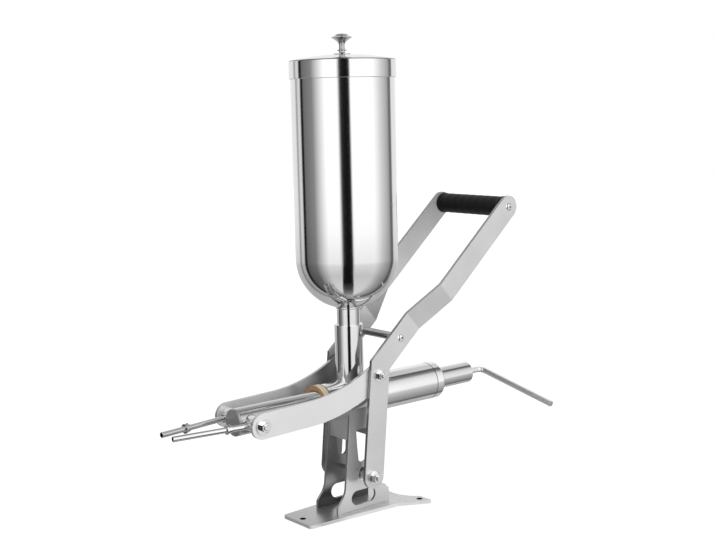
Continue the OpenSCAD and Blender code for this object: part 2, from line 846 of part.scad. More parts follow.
module collar_screw(side, along) {
    len = collar_flange_t + collar_hub_len;
    color(dark_steel) on_side(side) at_nozzle()
        translate([0, -along - len / 2 + collar_flange_t + collar_hub_len / 2, 0])
            translate([0, 0, nozzle_od / 2 + side_play])
                cylinder(d = set_screw_d, h = collar_d / 2 - nozzle_od / 2, $fn = small_fn);
}

// The arm's outline: straight from the front pivot, then an arc to the rear pivot
module arm_outline() {
    dy = arm_dy * cos(arm_slope) + arm_dz * sin(arm_slope) - arm_straight;
    dz = arm_dz * cos(arm_slope) - arm_dy * sin(arm_slope);
    sweep = 2 * atan2(dz, dy);
    r = dy / sin(sweep);
    steps = 24;
    half = arm_w / 2;
    arc = [for (i = [0:steps]) sweep * i / steps];
    translate([manifold_y, barrel_h]) rotate(arm_slope) {
        circle(r = half, $fn = round_fn);
        polygon([[0, half], [0, -half],
            for (a = arc) [arm_straight, r] + (r + half) * [sin(a), -cos(a)],
            for (i = [0:steps]) let (a = arc[steps - i])
                [arm_straight, r] + (r - half) * [sin(a), -cos(a)]]);
    }
    translate([rear_pivot_y, rear_pivot_z]) circle(r = half, $fn = round_fn);
}

module connecting_arm(side) {
    color(steel) on_side(side) difference() {
        side_sheet(arm_in, arm_t) arm_outline();
        at_front_pivot() rod_x(pivot_d + 2 * eye_slack, arm_in - over, arm_in + arm_t + over);
        at_rear_pivot() rod_x(pivot_d + 2 * run_gap, arm_in - over, arm_in + arm_t + over);
    }
}

module rear_pivot_bolts() {
    head = arm_in - side_play;
    end = lever_out + washer_t + pivot_nut_h + stud_tip;
    color(bright_steel) at_rear_pivot() both_sides() {
        rod_x(pivot_head_d, head - pivot_head_h, head);
        rod_x(pivot_d, head - over, lever_out);
        thread_end_x(pivot_thread_d, lever_out - over, end);
    }
}

module rear_pivot_shims() {
    color(nylon) at_rear_pivot() both_sides()
        ring_x(shim_d, pivot_d + 2 * thread_gap, lever_in - shim_t, lever_in);
}

module rear_pivot_washers() {
    color(bright_steel) at_rear_pivot() both_sides()
        ring_x(washer_d, pivot_thread_d + 2 * thread_gap, lever_out, lever_out + washer_t);
}

module rear_pivot_nuts() {
    x0 = lever_out + washer_t;
    color(bright_steel) at_rear_pivot() both_sides()
        nut_x(pivot_nut_af, pivot_thread_d + 2 * thread_gap, x0, x0 + pivot_nut_h);
}

// The lever from the side: its leg up to the elbow and its slope up to the grip
module lever_outline() {
    half = lever_w / 2;
    up = [sin(leg_angle), cos(leg_angle)];
    out = [cos(lever_rake), sin(lever_rake)];
    up_n = [-up[1], up[0]];
    out_n = [-out[1], out[0]];
    corner_off = half * (up_n + out_n) / (1 + up_n * out_n);
    foot = [0, fulcrum_h];
    end = elbow + out * grip_at;
    polygon([foot + half * up_n, foot - half * up_n, elbow - corner_off,
        end - half * out_n, end + half * out_n, elbow + corner_off]);
    for (p = [foot, end]) translate(p) circle(r = half, $fn = round_fn);
}

// The bar seen from above the slope: straight, bent out, straight again, and longer at both ends
module slope_outline() {
    lean = atan2(grip_in - lever_in, joggle_high - joggle_low);
    shift = lever_t * tan(lean / 2);
    start = -leg_len - lever_w;
    end = grip_at + lever_w;
    polygon(rounded([[lever_in, start], [lever_in, joggle_low],
        [grip_in, joggle_high], [grip_in, end],
        [grip_in + lever_t, end], [grip_in + lever_t, joggle_high - shift],
        [lever_out, joggle_low - shift], [lever_out, start]],
        [0, bend_r + lever_t, bend_r, 0, 0, bend_r + lever_t, bend_r, 0]));
}

module lever_arm(side) {
    reach = leg_len + lever_w;
    color(steel) on_side(side) difference() {
        intersection() {
            side_sheet(0, grip_gap) lever_outline();
            at_elbow() translate([0, 0, -reach]) linear_extrude(2 * reach) slope_outline();
        }
        at_fulcrum() rod_x(fulcrum_d + 2 * run_gap, lever_in - over, lever_out + over);
        at_rear_pivot() rod_x(pivot_d + 2 * thread_gap, lever_in - over, lever_out + over);
        at_elbow() translate([0, rod_at, 0])
            rod_x(rod_screw_d + 2 * slip_gap, lever_in - over, lever_out + over);
        at_elbow() translate([0, grip_at, 0])
            rod_x(handle_screw_d + 2 * slip_gap, grip_in - over, grip_in + lever_t + over);
    }
}

module cross_rod() {
    color(steel) at_elbow() translate([0, rod_at, 0]) difference() {
        rod_x(rod_d, -lever_in, lever_in);
        both_sides() rod_x(rod_screw_d + 2 * thread_gap, lever_in - screw_hold,
            lever_in + over);
    }
}

module cross_rod_screws() {
    color(bright_steel) at_elbow() translate([0, rod_at, 0]) both_sides()
        headed_screw_x(rod_screw_d, lever_out, lever_t + screw_hold - side_play);
}

module handle_bar() {
    color(steel) at_elbow() translate([0, grip_at, 0]) difference() {
        rod_x(bar_d, -grip_in, grip_in);
        both_sides() rod_x(handle_screw_d + 2 * thread_gap, grip_in - screw_hold,
            grip_in + over);
    }
}

module handle_grip() {
    half = grip_in - grip_end_gap;
    ring_out = grip_d + 2 * grip_ring_h;
    color(rubber) at_elbow() translate([0, grip_at, 0]) difference() {
        union() {
            rod_x(grip_d, -half, half);
            both_sides() rod_x(ring_out, half - grip_ring_w, half);
        }
        rod_x(bar_d + 2 * thread_gap, -grip_in, grip_in);
    }
}

module handle_screws() {
    color(bright_steel) at_elbow() translate([0, grip_at, 0]) both_sides()
        headed_screw_x(handle_screw_d, grip_in + lever_t, lever_t + screw_hold - side_play);
}

module hopper_shell() {
    color(bright_steel) translate([0, 0, hopper_round_at]) difference() {
        cylinder(r = hopper_r, h = hopper_top - hopper_round_at, $fn = 2 * round_fn);
        translate([0, 0, -over]) cylinder(r = hopper_r - hopper_wall,
            h = hopper_top - hopper_round_at + 2 * over, $fn = 2 * round_fn);
    }
}

module hopper_bowl() {
    color(bright_steel) difference() {
        translate([0, 0, hopper_round_at]) sphere(r = hopper_r, $fn = 2 * round_fn);
        translate([0, 0, hopper_round_at]) sphere(r = hopper_r - hopper_wall, $fn = 2 * round_fn);
        translate([-hopper_od, -hopper_od, hopper_round_at]) cube(2 * hopper_od);
        cylinder(d = port_d, h = hopper_round_at, $fn = round_fn);
    }
}

// The pipe under the bowl, with the weld bead where they meet
module hopper_spigot() {
    color(bright_steel) difference() {
        union() {
            translate([0, 0, spigot_low])
                cylinder(d = spigot_od, h = hopper_round_at - spigot_low, $fn = round_fn);
            translate([0, 0, neck_z - neck_bead_h / 3])
                cylinder(d = spigot_od + neck_bead_h, h = neck_bead_h, $fn = round_fn);
        }
        translate([0, 0, hopper_round_at]) sphere(r = hopper_r, $fn = 2 * round_fn);
        translate([0, 0, spigot_low - over])
            cylinder(d = port_d, h = hopper_round_at - spigot_low, $fn = round_fn);
    }
}

module hopper_seal() {
    color(rubber) translate([0, 0, shelf_z]) difference() {
        cylinder(d = spigot_od, h = hopper_seal_t - side_play, $fn = round_fn);
        translate([0, 0, -over])
            cylinder(d = port_d, h = hopper_seal_t + 2 * over, $fn = round_fn);
    }
}

// The solid under a dome of the given foot radius and rise, standing on z
module dome(foot_r, rise, z) {
    r = (pow(foot_r, 2) + pow(rise, 2)) / (2 * rise);
    intersection() {
        translate([0, 0, z + rise - r]) sphere(r = r, $fn = 6 * round_fn);
        translate([0, 0, z]) cylinder(r = foot_r, h = rise + over, $fn = 2 * round_fn);
    }
}

module hopper_lid() {
    skirt_low = hopper_top + lid_wall - skirt_h;
    color(bright_steel) difference() {
        union() {
            dome(lid_out_r, dome_rise, hopper_top + lid_wall);
            translate([0, 0, skirt_low]) cylinder(r = lid_out_r, h = skirt_h, $fn = 2 * round_fn);
        }
        dome(lid_in_r, dome_rise, hopper_top + side_play);
        translate([0, 0, skirt_low - over]) cylinder(r = lid_in_r,
            h = skirt_h - lid_wall + side_play + over, $fn = 2 * round_fn);
        translate([0, 0, hopper_top]) cylinder(d = knob_screw_d + 2 * slip_gap,
            h = 2 * dome_rise + lid_wall, $fn = small_fn);
    }
}

// Half of the knob's turned profile: foot, bead, neck, flared cap
module knob_profile() {
    foot = knob_foot_d / 2;
    neck = knob_neck_d / 2;
    cap = knob_d / 2;
    flare = 12;
    flare_low = knob_h * 0.58;
    flare_high = knob_h * 0.8;
    polygon([[0, 0], [foot, 0], [foot, knob_h * 0.035],
        for (i = [0:4]) let (a = 90 * i / 4)
            [neck * 1.2 + (foot - neck * 1.2) * (1 - sin(a)) * 0.9,
                knob_h * (0.035 + 0.1 * (1 - cos(a)))],
        [neck, knob_h * 0.15],
        for (i = [0:6]) let (a = 180 * i / 6 - 90)
            [neck + (knob_foot_d / 4 - neck) * cos(a) + 0.1 * neck,
                knob_h * (0.2 + 0.045 * sin(a))],
        [neck, knob_h * 0.26], [neck, flare_low],
        for (i = [1:flare]) let (a = 90 * i / flare)
            [neck + (cap - neck) * (1 - cos(a)), flare_low + (flare_high - flare_low) * sin(a)],
        [cap, knob_h * 0.84],
        for (i = [1:flare]) let (a = 90 * i / flare)
            [cap * cos(a), knob_h * (0.84 + 0.16 * sin(a))]]);
}

module lid_knob() {
    color(bright_steel) translate([0, 0, lid_top]) difference() {
        rotate_extrude($fn = round_fn) knob_profile();
        translate([0, 0, -over]) cylinder(d = knob_screw_d + 2 * thread_gap,
            h = knob_h / 2 + over, $fn = small_fn);
    }
}

knob_washer_z = lid_top - lid_wall - knob_washer_t;

module lid_knob_washer() {
    color(bright_steel) translate([0, 0, knob_washer_z]) difference() {
        cylinder(d = knob_washer_d, h = knob_washer_t, $fn = round_fn);
        translate([0, 0, -over]) cylinder(d = knob_screw_d + 2 * slip_gap,
            h = knob_washer_t + 2 * over, $fn = small_fn);
    }
}

module lid_knob_screw() {
    head_low = knob_washer_z - knob_screw_head_h;
    color(bright_steel) {
        translate([0, 0, head_low])
            cylinder(d = 2 * knob_screw_d, h = knob_screw_head_h, $fn = small_fn);
        translate([0, 0, head_low]) cylinder(d = knob_screw_d,
            h = lid_top + knob_h / 2 - side_play - head_low, $fn = small_fn);
    }
}

base_plate();
side_plate(1);  // right_side_plate
side_plate(-1);  // left_side_plate
cross_web(-1);  // front_web
cross_web(1);  // rear_web
fulcrum_axle();
fulcrum_inner_washers();
fulcrum_inner_nuts();
fulcrum_spacers();
fulcrum_outer_washers();
fulcrum_outer_nuts();
barrel();
feed_socket();
cylinder_liner();
liner_seal();
rear_cap();
rear_cap_seal();
guide_pin();
adjuster_housing();
thrust_washers();
adjuster_screw();
adjuster_key();
dosing_piston();
dosing_seals();
plunger_tube();
plunger_seals();
plunger_end_cap();
cross_manifold();
front_pivot_studs();
front_pivot_shims();
front_pivot_washers();
front_pivot_nuts();
nozzle_sockets();
nozzle(1);  // right_nozzle
nozzle(-1);  // left_nozzle
stop_collar(1, right_collar_at);  // right_stop_collar
stop_collar(-1, left_collar_at);  // left_stop_collar
collar_screw(1, right_collar_at);  // right_collar_screw
collar_screw(-1, left_collar_at);  // left_collar_screw
connecting_arm(1);  // right_connecting_arm
connecting_arm(-1);  // left_connecting_arm
rear_pivot_bolts();
rear_pivot_shims();
rear_pivot_washers();
rear_pivot_nuts();
lever_arm(1);  // right_lever_arm
lever_arm(-1);  // left_lever_arm
cross_rod();
cross_rod_screws();
handle_bar();
handle_grip();
handle_screws();
hopper_shell();
hopper_bowl();
hopper_spigot();
hopper_seal();
hopper_lid();
lid_knob();
lid_knob_washer();
lid_knob_screw();
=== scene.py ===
# Hand-lever pastry filler, seen from its right front in a white studio. Lengths are in metres,
# but in mm in the outlines, fades, holes and beads.
import json
import math

import bmesh
import bpy
from mathutils import Matrix, Vector

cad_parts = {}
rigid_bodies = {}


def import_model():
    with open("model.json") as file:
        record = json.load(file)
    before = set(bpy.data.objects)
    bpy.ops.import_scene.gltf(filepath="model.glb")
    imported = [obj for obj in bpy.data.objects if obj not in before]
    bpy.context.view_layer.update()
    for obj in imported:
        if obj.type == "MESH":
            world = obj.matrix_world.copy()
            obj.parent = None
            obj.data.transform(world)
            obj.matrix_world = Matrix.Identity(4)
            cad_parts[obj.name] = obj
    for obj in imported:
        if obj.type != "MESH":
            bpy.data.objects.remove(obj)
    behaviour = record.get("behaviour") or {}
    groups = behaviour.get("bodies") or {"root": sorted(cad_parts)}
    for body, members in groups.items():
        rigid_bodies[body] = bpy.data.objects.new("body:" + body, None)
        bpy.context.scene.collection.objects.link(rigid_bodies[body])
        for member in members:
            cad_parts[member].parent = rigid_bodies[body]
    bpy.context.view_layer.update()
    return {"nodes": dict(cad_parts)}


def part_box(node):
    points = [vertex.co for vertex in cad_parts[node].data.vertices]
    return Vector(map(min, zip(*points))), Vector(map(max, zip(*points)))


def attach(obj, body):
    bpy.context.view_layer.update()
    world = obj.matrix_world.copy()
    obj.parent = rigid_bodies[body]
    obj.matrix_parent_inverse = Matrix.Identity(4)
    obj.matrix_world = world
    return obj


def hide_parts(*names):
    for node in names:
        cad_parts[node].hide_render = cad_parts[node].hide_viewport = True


for old in list(bpy.data.objects):
    bpy.data.objects.remove(old, do_unlink=True)

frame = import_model()
scene = bpy.context.scene
MM = 0.001
BARREL_AXIS = 170.0  # mm above the table


# ---------------------------------------------------------------- node steps

def added(tree, kind, **values):
    """A new node with these settings."""
    made = tree.nodes.new(kind)
    for key, value in values.items():
        setattr(made, key, value)
    return made


def put(tree, term, socket):
    """Feed an input with another node's output or with a plain value."""
    if isinstance(term, bpy.types.NodeSocket):
        tree.links.new(term, socket)
    else:
        socket.default_value = term


def measured(tree, output, axis):
    """One axis of a point or a normal of the piece, in its own frame."""
    where = added(tree, "ShaderNodeTexCoord")
    axes = added(tree, "ShaderNodeSeparateXYZ")
    tree.links.new(where.outputs[output], axes.inputs["Vector"])
    return axes.outputs[axis]


def sums(tree, operation, *terms):
    """One step of arithmetic; each term is a socket or a number."""
    made = added(tree, "ShaderNodeMath", operation=operation)
    for term, socket in zip(terms, made.inputs):
        put(tree, term, socket)
    return made.outputs[0]


def paired(tree, operation, one, two):
    """The outputs of one step of arithmetic on two vectors."""
    made = added(tree, "ShaderNodeVectorMath", operation=operation)
    put(tree, one, made.inputs[0])
    put(tree, two, made.inputs[1])
    return made.outputs


def scaled(tree, vector, share):
    made = added(tree, "ShaderNodeVectorMath", operation="SCALE")
    tree.links.new(vector, made.inputs[0])
    tree.links.new(share, made.inputs["Scale"])
    return made.outputs["Vector"]


def mixed(tree, kind, factor, one, two):
    """one where factor is 0 and two where it is 1; each is a socket or a plain value."""
    made = added(tree, "ShaderNodeMix", data_type=kind)
    put(tree, factor, made.inputs["Factor"])
    put(tree, one, made.inputs["A"])
    put(tree, two, made.inputs["B"])
    return made.outputs["Result"]


def ranged(tree, value, low, high, low_at=0.3, high_at=0.7):
    """low up to the value low_at, high from high_at on, and evenly changing between them.
    Noise keeps mostly to the range that stands here."""
    reach = added(tree, "ShaderNodeMapRange")
    reach.inputs["From Min"].default_value = low_at
    reach.inputs["From Max"].default_value = high_at
    reach.inputs["To Min"].default_value = low
    reach.inputs["To Max"].default_value = high
    tree.links.new(value, reach.inputs["Value"])
    return reach.outputs["Result"]


def ramp_of(tree, factor, marks):
    """A grey that follows (place, light) pairs, with places from 0 to 1."""
    ramp = added(tree, "ShaderNodeValToRGB")
    stops = ramp.color_ramp.elements
    while len(stops) > 1:
        stops.remove(stops[0])
    for i, (place, light) in enumerate(marks):
        stop = stops[0] if i == 0 else stops.new(place)
        stop.position = place
        stop.color = (light, light, light, 1)
    tree.links.new(factor, ramp.inputs["Fac"])
    return ramp.outputs["Color"]


def faded(tree, axis, marks):
    """A share that changes along one axis of the piece, from (place in mm, share) pairs."""
    first, last = marks[0][0], marks[-1][0]
    place = ranged(tree, measured(tree, "Object", axis), 0, 1, first * MM, last * MM)
    return ramp_of(tree, place, [((at - first) / (last - first), share) for at, share in marks])


def grain(tree, scale, turn, detail=3.0):
    """Noise drawn out along one direction of the piece."""
    where = added(tree, "ShaderNodeTexCoord")
    mapping = added(tree, "ShaderNodeMapping")
    mapping.inputs["Rotation"].default_value = turn
    mapping.inputs["Scale"].default_value = scale
    noise = added(tree, "ShaderNodeTexNoise")
    noise.inputs["Scale"].default_value = 1.0
    noise.inputs["Detail"].default_value = detail
    tree.links.new(where.outputs["Object"], mapping.inputs["Vector"])
    tree.links.new(mapping.outputs["Vector"], noise.inputs["Vector"])
    return noise.outputs["Fac"]


# ---------------------------------------------------------------- materials

# The noise's scale for fine lines, small along them
ALONG_X = (20, 900, 900)
ALONG_Y = (900, 20, 900)
ALONG_Z = (900, 900, 20)
ROUND_Y = (60, 900, 60)
ROUND_Z = (30, 30, 1500)
RAKE = math.radians(41.3)      # how far the lever's upper part leans from upright
EDGE_ROUND = 0.4 * MM          # the rounding that edges seem to have
PATCHES = (14, 14, 14)         # the noise's scale for the large, faint patches of metal
SMOOTHER, ROUGHER = 0.85, 1.15
METAL_DEPTH, MATT_DEPTH = 0.2 * MM, 0.3 * MM
MATT_VARY = 0.08
# Painted shade: the nearly black colour of the walls of holes
HOLE_SHADE = (0.03, 0.03, 0.03, 1)
UNTURNED = (0, 0, 0)


def start(slot):
    """The node tree and the shader of a material, both new."""
    material = bpy.data.materials.get(slot) or bpy.data.materials.new(slot)
    material.use_nodes = True
    tree = material.node_tree
    tree.nodes.clear()
    shader = added(tree, "ShaderNodeBsdfPrincipled")
    out = added(tree, "ShaderNodeOutputMaterial")
    tree.links.new(shader.outputs["BSDF"], out.inputs["Surface"])
    return tree, shader


def varied(tree, noise, colour, vary):
    """The colour, a little darker and lighter with the noise."""
    low = (*(c * (1 - vary) for c in colour), 1)
    high = (*(min(1.0, c * (1 + vary)) for c in colour), 1)
    return mixed(tree, "RGBA", ranged(tree, noise, 0, 1), low, high)


def bumped(tree, shader, value, strength, distance, edge):
    bump = added(tree, "ShaderNodeBump")
    bump.inputs["Strength"].default_value = strength
    bump.inputs["Distance"].default_value = distance
    tree.links.new(value, bump.inputs["Height"])
    if edge:
        bevel = added(tree, "ShaderNodeBevel", samples=4)
        bevel.inputs["Radius"].default_value = edge
        tree.links.new(bevel.outputs["Normal"], bump.inputs["Normal"])
    tree.links.new(bump.outputs["Normal"], shader.inputs["Normal"])


def sheet_painted_light(tree, thick, outer, inner, cut):
    """Two outputs for a sheet piece: the share of its tone, which paints light and shade on it,
    and 1 on its cut edges, else 0. Its faces look along the axis thick. Those that look to the
    middle plane take the painted shade of the fade inner, and the others that of outer, where
    one is given. Faces that lean from the axis thick are painted a little darker, as painted
    shade. The cut edges take the share cut, which paints them lighter or darker."""
    edge_below = 0.5
    bent_at, flat_at, bent_shade_share = 0.9, 0.99, 0.82
    normal = measured(tree, "Normal", thick)
    level = sums(tree, "ABSOLUTE", normal)
    edges = sums(tree, "LESS_THAN", level, edge_below)
    share = faded(tree, *outer) if outer else 1.0
    if inner:
        outward = sums(tree, "MULTIPLY", measured(tree, "Object", thick), normal)
        share = mixed(tree, "FLOAT", sums(tree, "LESS_THAN", outward, 0.0), share,
                      faded(tree, *inner))
    # Faces that lean from the axis thick are painted darker: painted shade
    lean_shade = ranged(tree, level, bent_shade_share, 1.0, bent_at, flat_at)
    return mixed(tree, "FLOAT", edges, sums(tree, "MULTIPLY", share, lean_shade), cut), edges


def in_holes(tree, centres, radius):
    """1 within radius of any of the upright axes at centres, in mm; else 0."""
    x, y = measured(tree, "Object", "X"), measured(tree, "Object", "Y")
    inside = 0.0
    for cx, cy in centres:
        off_x = sums(tree, "SUBTRACT", x, cx * MM)
        off_y = sums(tree, "SUBTRACT", y, cy * MM)
        away = sums(tree, "SQRT", sums(tree, "ADD", sums(tree, "MULTIPLY", off_x, off_x),
                                       sums(tree, "MULTIPLY", off_y, off_y)))
        near = sums(tree, "LESS_THAN", away, radius * MM)
        inside = sums(tree, "MAXIMUM", inside, near)
    return inside


def steel(slot, tone, rough, lines=ALONG_Y, turn=UNTURNED, vary=0.05, relief=0.03,
          edge=EDGE_ROUND, tint=(1.0, 1.0, 1.0), metal=1.0, sheet=None, holes=None):
    """Metal with fine lines: it is smooth along the direction whose scale is small.
    metal below 1 gives a satin finish, which scatters some light. sheet, for a sheet piece, is
    (axis of its faces, fade of painted shade outside, fade of painted shade inside, share on the
    cut edges, which paints them lighter or darker, their roughness). holes is (centres, radius)
    of upright holes whose walls are painted nearly black, as painted shade."""
    tree, shader = start(slot)
    shader.inputs["Metallic"].default_value = metal
    fine = grain(tree, lines, turn)
    patch = grain(tree, PATCHES, UNTURNED, 2.0)
    colour = varied(tree, patch, [tone * c for c in tint], vary)
    roughness = ranged(tree, fine, rough * SMOOTHER, rough * ROUGHER)
    # Painted light and shade of a sheet piece, as shares of its colour
    if sheet:
        thick, outer, inner, cut, cut_rough = sheet
        share, edges = sheet_painted_light(tree, thick, outer, inner, cut)
        colour = scaled(tree, colour, share)
        roughness = mixed(tree, "FLOAT", edges, roughness, cut_rough)
    # Painted shade: the holes' walls take a nearly black colour
    if holes:
        colour = mixed(tree, "RGBA", in_holes(tree, *holes), colour, HOLE_SHADE)
    tree.links.new(colour, shader.inputs["Base Color"])
    tree.links.new(roughness, shader.inputs["Roughness"])
    bumped(tree, shader, fine, relief, METAL_DEPTH, edge)


def matt(slot, colour, rough, scale=(300, 300, 300), relief=0.05, shine=0.5, end=None):
    """Plastic or rubber. end, where given, is the darker colour painted on the faces that look
    along Y, as painted shade.
    """
    shade_end_above = 0.6
    tree, shader = start(slot)
    fine = grain(tree, scale, UNTURNED)
    tone = varied(tree, fine, colour, MATT_VARY)
    if end:
        # The faces that look along Y are painted darker: painted shade
        level = sums(tree, "ABSOLUTE", measured(tree, "Normal", "Y"))
        tone = mixed(tree, "RGBA", sums(tree, "GREATER_THAN", level, shade_end_above), tone, (*end, 1))
    tree.links.new(tone, shader.inputs["Base Color"])
    shader.inputs["Roughness"].default_value = rough
    shader.inputs["Specular IOR Level"].default_value = shine
    bumped(tree, shader, fine, relief, MATT_DEPTH, EDGE_ROUND)


TURNED_STEEL = {"relief": 0.012, "vary": 0.02}
POLISHED = {"relief": 0.01, "vary": 0.01, "edge": 0}

# The base is painted with light and shade: darker towards its front, its cut edges lighter, and
# its holes' walls nearly black
steel("base_steel", 0.7, 0.3, metal=0.8,
      sheet=("Z", ("Y", [(-101, 0.7), (-60, 0.8), (-10, 1.0), (110, 0.95)]), None, 1.4, 0.42),
      holes=(((0, -94), (50, 90), (-50, 90)), 4.7))
# The side plates are painted with shade: lighter at mid height on their outer faces, much darker
# on the faces between the plates, darkest at the foot, and their cut edges darker
steel("plate_steel", 0.95, 0.2, ALONG_Z, metal=0.55,
      sheet=("X", ("Z", [(5, 0.72), (35, 0.95), (60, 1.0), (110, 1.0), (142, 0.85)]),
             ("Z", [(5, 0.06), (25, 0.15), (40, 0.5), (60, 0.3), (95, 0.4), (142, 0.38)]),
             0.45, 0.2))
steel("web_steel", 0.7, 0.45, ALONG_X, metal=0.7)
steel("fastener_steel", 0.92, 0.12, (400, 400, 400))
steel("barrel_steel", 0.88, 0.13, ROUND_Y, **TURNED_STEEL)
steel("pipe_steel", 0.84, 0.1, ROUND_Z, **TURNED_STEEL)
# The liner's end faces are painted brown, darker than its sides: painted shade
matt("liner_nylon", (0.86, 0.72, 0.5), 0.45, end=(0.5, 0.3, 0.15))
matt("liner_seal_rubber", (0.07, 0.065, 0.03), 0.6)
matt("cap_seal_rubber", (0.01, 0.01, 0.01), 0.6)
matt("seal_rubber", (0.04, 0.04, 0.04), 0.5)
steel("cap_steel", 0.94, 0.15, ROUND_Y, **TURNED_STEEL)
steel("housing_steel", 0.8, 0.16, ROUND_Y, **TURNED_STEEL)
steel("screw_steel", 0.42, 0.4, ROUND_Y)
steel("bronze", 0.62, 0.4, ROUND_Y, tint=(1.0, 0.74, 0.4))
steel("key_steel", 0.8, 0.3, ALONG_X)
steel("plunger_steel", 0.58, 0.12, ROUND_Y, **TURNED_STEEL)
steel("end_cap_grey", 0.5, 0.42, (200, 200, 200))
steel("manifold_steel", 0.78, 0.16, (900, 60, 60), relief=0.012)
matt("shim_nylon", (0.8, 0.8, 0.77), 0.5)
steel("nozzle_steel", 0.74, 0.09, ROUND_Y, relief=0.012)
steel("collar_steel", 0.7, 0.12, ROUND_Y, relief=0.012)
# The connecting arms: their faces between the arms are painted darker towards the back, as painted
# shade, and their cut edges darker
steel("arm_steel", 0.97, 0.34, metal=0.62,
      sheet=("X", None, ("Y", [(-200, 1.0), (-90, 1.0), (-50, 0.7), (-15, 0.22), (60, 0.12)]),
             0.6, 0.2))
# The lever: its faces between the arms are painted shade, lightest at mid height and darker low
# down and towards the grip, and its cut edges darker
steel("lever_steel", 0.81, 0.32, turn=(RAKE, 0, 0), metal=0.75, relief=0.05,
      sheet=("X", None, ("Z", [(60, 0.3), (230, 0.35), (272, 0.62), (292, 0.88),
                               (340, 0.88), (385, 0.72), (440, 0.5), (470, 0.35)]), 0.5, 0.2))
steel("rod_steel", 0.5, 0.2, ALONG_X, relief=0.012)
matt("grip_rubber", (0.008, 0.008, 0.009), 0.5, (60, 500, 500), 0.08, shine=0.25)
steel("hopper_steel", 0.78, 0.1, ROUND_Z, **POLISHED)
steel("lid_steel", 0.78, 0.1, ROUND_Z, **POLISHED)
# Painted shade: the dark line along the lid's rounded edge
steel("edge_steel", 0.2, 0.25, (400, 400, 400))
steel("knob_chrome", 0.5, 0.04, (100, 100, 100), relief=0.0, vary=0.0, edge=0)


# ---------------------------------------------------------------- turned pieces and beads

def finished(name, shape, body, slot, nodes=(), look=None):
    """The piece made from a bmesh, on its body. nodes are the ones that it replaces, and look
    is the material's name, where it isn't its slot's own."""
    bmesh.ops.recalc_face_normals(shape, faces=shape.faces)
    mesh = bpy.data.meshes.new(name)
    shape.to_mesh(mesh)
    shape.free()
    mesh.materials.append(bpy.data.materials[look or slot])
    made = bpy.data.objects.new(name, mesh)
    scene.collection.objects.link(made)
    if nodes:
        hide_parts(*nodes)
    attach(made, body)
    return made


def turned(name, body, outline, slot, nodes, along="Z", at=(0, 0, 0), turns=160, sharp=35,
           look=None):
    """A turned piece from its closed outline of (radius, distance along the axis) in mm.
    along is the axis, which passes through at. A radius of 0 is a single point. Where the
    outline bends by more than sharp degrees, the edge is sharp."""
    shift = {"X": 2, "Y": 1, "Z": 0}[along]
    shape = bmesh.new()
    rings = []
    for radius, far in outline:
        ring = []
        for k in range(turns if radius > 0 else 1):
            a = math.tau * k / turns
            spot = (radius * math.cos(a), radius * math.sin(a), far)
            spot = spot[shift:] + spot[:shift]
            ring.append(shape.verts.new(Vector(spot) * MM + Vector(at)))
        rings.append(ring)
    closed = outline[0][0] > 0 or outline[-1][0] > 0
    count = len(rings)
    for i in range(count if closed else count - 1):
        one, two = rings[i], rings[(i + 1) % count]
        for k in range(turns):
            n = (k + 1) % turns
            corners = [one[0]] if len(one) == 1 else [one[k], one[n]]
            corners += [two[0]] if len(two) == 1 else [two[n], two[k]]
            if len(corners) > 2:
                shape.faces.new(corners).smooth = True
    for i in range(count):
        a, b, c = outline[i - 1], outline[i], outline[(i + 1) % count]
        before = math.atan2(b[1] - a[1], b[0] - a[0])
        after = math.atan2(c[1] - b[1], c[0] - b[0])
        bend = abs((after - before + math.pi) % math.tau - math.pi)
        if bend > math.radians(sharp) and len(rings[i]) > 1:
            for k in range(turns):
                edge = shape.edges.get((rings[i][k], rings[i][(k + 1) % turns]))
                if edge:
                    edge.smooth = False
    return finished(name, shape, body, slot, nodes, look)


def arc(centre, radius, first, last, steps):
    """Points on a circle between two angles in degrees."""
    return [(centre[0] + radius * math.cos(math.radians(first + (last - first) * i / steps)),
             centre[1] + radius * math.sin(math.radians(first + (last - first) * i / steps)))
            for i in range(steps + 1)]


def shares(steps):
    """Even steps towards 1, without 0."""
    return [i / steps for i in range(1, steps + 1)]


def hopper():
    outer, wall, middle, rim = 75.0, 1.5, 380.0, 663.0
    pipe, bore, foot, bevel = 17.0, 14.0, 223.0, 0.5
    inside = outer - wall
    drop = math.sqrt(outer ** 2 - pipe ** 2)
    low_out = math.degrees(math.asin(-drop / outer))
    low_in = math.degrees(math.asin(-math.sqrt(inside ** 2 - bore ** 2) / inside))
    neck = middle - drop
    bead, bead_at, bead_foot, past_bead = 1.8, neck - 0.6, neck - 2.4, 2.2
    bowl_steps, ring_every = 40, 60
    outline = [(bore, foot), (pipe - bevel, foot), (pipe, foot + bevel), (pipe, bead_foot)]
    outline += arc((pipe, bead_at), bead, -80, 62, 8)
    outline += arc((0, middle), outer, low_out + past_bead, 0, bowl_steps)
    outline += [(outer, rim - ring_every * k) for k in (4, 3, 2, 1)]
    outline += arc((outer - wall / 2, rim - wall / 2), wall / 2, 0, 180, 8)
    outline += [(inside, middle)]
    outline += arc((0, middle), inside, 0, low_in, bowl_steps)[1:]
    turned("hopper", "hopper_body", outline, "hopper_steel",
           ("hopper_shell", "hopper_bowl", "hopper_spigot"))


def dome(radii, reach, rise, foot):
    """Points at these radii on a dome that rises by rise over a foot of the radius reach."""
    ball = (reach ** 2 + rise ** 2) / (2 * rise)
    centre = foot + rise - ball
    return [(r, centre + math.sqrt(ball ** 2 - r ** 2)) for r in radii]


